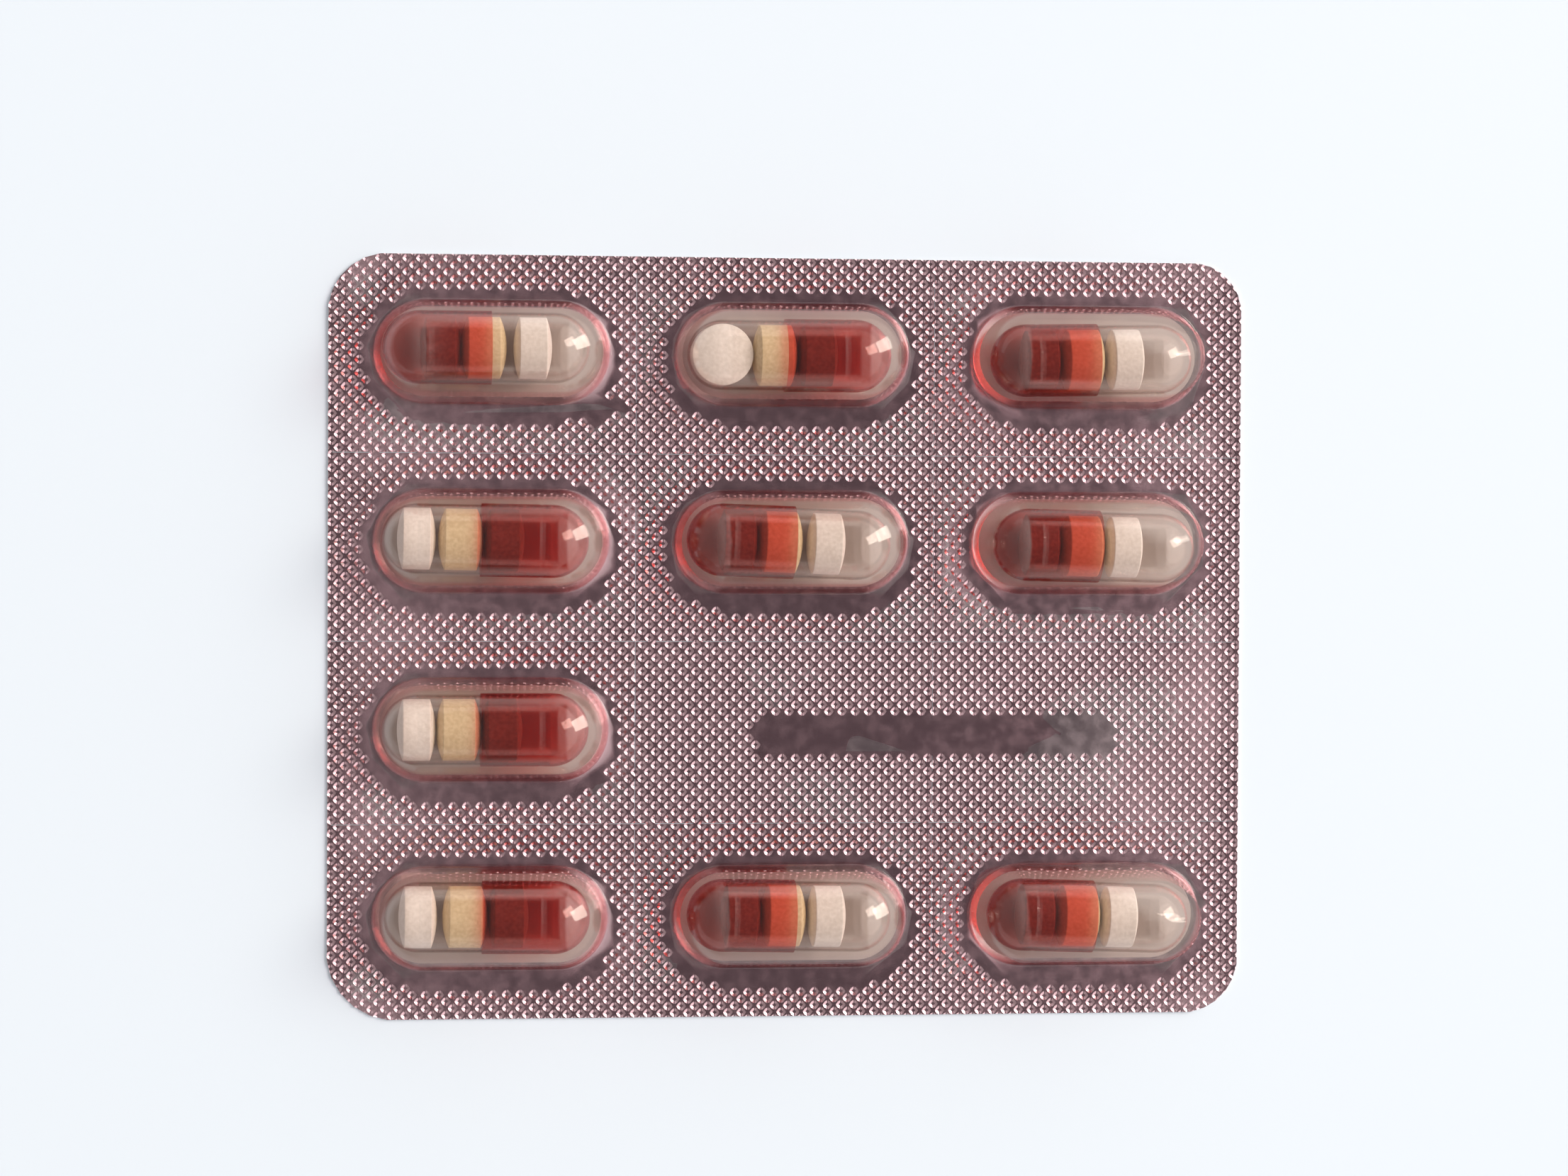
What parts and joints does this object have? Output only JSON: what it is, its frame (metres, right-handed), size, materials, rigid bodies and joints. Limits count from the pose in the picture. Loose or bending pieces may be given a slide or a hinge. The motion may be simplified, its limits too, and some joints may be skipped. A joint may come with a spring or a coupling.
{
  "type": "pill blister pack",
  "caption": "Flat blister pack: clear tinted film with capsule pockets, sealed to a knurled foil; each red and clear capsule holds small tablets.",
  "frame": {"origin": "centre of the sheet's outline on the underside of the lidding foil, on which the pack lies", "axes": "+X along the capsules, +Y up the rows of pockets, +Z out of the pockets, away from the foil"},
  "size_m": [0.097, 0.08, 0.0083],
  "materials": {
    "tinted_film": "clear rose-tinted film, glossy, knurled between the pockets",
    "foil": "bright hard-temper foil, knurled",
    "red_shell": "transparent red gelatin, glossy",
    "clear_shell": "clear gelatin, glossy",
    "white_tablet": "pressed powder with a thin white film coat",
    "cream_tablet": "pressed powder with a thin cream film coat",
    "brown_tablet": "pressed powder with a thin dark red-brown film coat"
  },
  "bodies": {
    "root": {"forming_film": "tinted_film", "lidding_foil": "foil", "capsule_cap_r1c1": "red_shell", "capsule_body_r1c1": "clear_shell", "white_tablet_r1c1": "white_tablet", "cream_tablet_r1c1": "cream_tablet", "brown_tablet_r1c1": "brown_tablet", "capsule_cap_r1c2": "red_shell", "capsule_body_r1c2": "clear_shell", "white_tablet_r1c2": "white_tablet", "cream_tablet_r1c2": "cream_tablet", "brown_tablet_r1c2": "brown_tablet", "capsule_cap_r1c3": "red_shell", "capsule_body_r1c3": "clear_shell", "white_tablet_r1c3": "white_tablet", "cream_tablet_r1c3": "cream_tablet", "brown_tablet_r1c3": "brown_tablet", "capsule_cap_r2c1": "red_shell", "capsule_body_r2c1": "clear_shell", "white_tablet_r2c1": "white_tablet", "cream_tablet_r2c1": "cream_tablet", "brown_tablet_r2c1": "brown_tablet", "capsule_cap_r2c2": "red_shell", "capsule_body_r2c2": "clear_shell", "white_tablet_r2c2": "white_tablet", "cream_tablet_r2c2": "cream_tablet", "brown_tablet_r2c2": "brown_tablet", "capsule_cap_r2c3": "red_shell", "capsule_body_r2c3": "clear_shell", "white_tablet_r2c3": "white_tablet", "cream_tablet_r2c3": "cream_tablet", "brown_tablet_r2c3": "brown_tablet", "capsule_cap_r3c1": "red_shell", "capsule_body_r3c1": "clear_shell", "white_tablet_r3c1": "white_tablet", "cream_tablet_r3c1": "cream_tablet", "brown_tablet_r3c1": "brown_tablet", "capsule_cap_r4c1": "red_shell", "capsule_body_r4c1": "clear_shell", "white_tablet_r4c1": "white_tablet", "cream_tablet_r4c1": "cream_tablet", "brown_tablet_r4c1": "brown_tablet", "capsule_cap_r4c2": "red_shell", "capsule_body_r4c2": "clear_shell", "white_tablet_r4c2": "white_tablet", "cream_tablet_r4c2": "cream_tablet", "brown_tablet_r4c2": "brown_tablet", "capsule_cap_r4c3": "red_shell", "capsule_body_r4c3": "clear_shell", "white_tablet_r4c3": "white_tablet", "cream_tablet_r4c3": "cream_tablet", "brown_tablet_r4c3": "brown_tablet"}
  },
  "joints": []
}
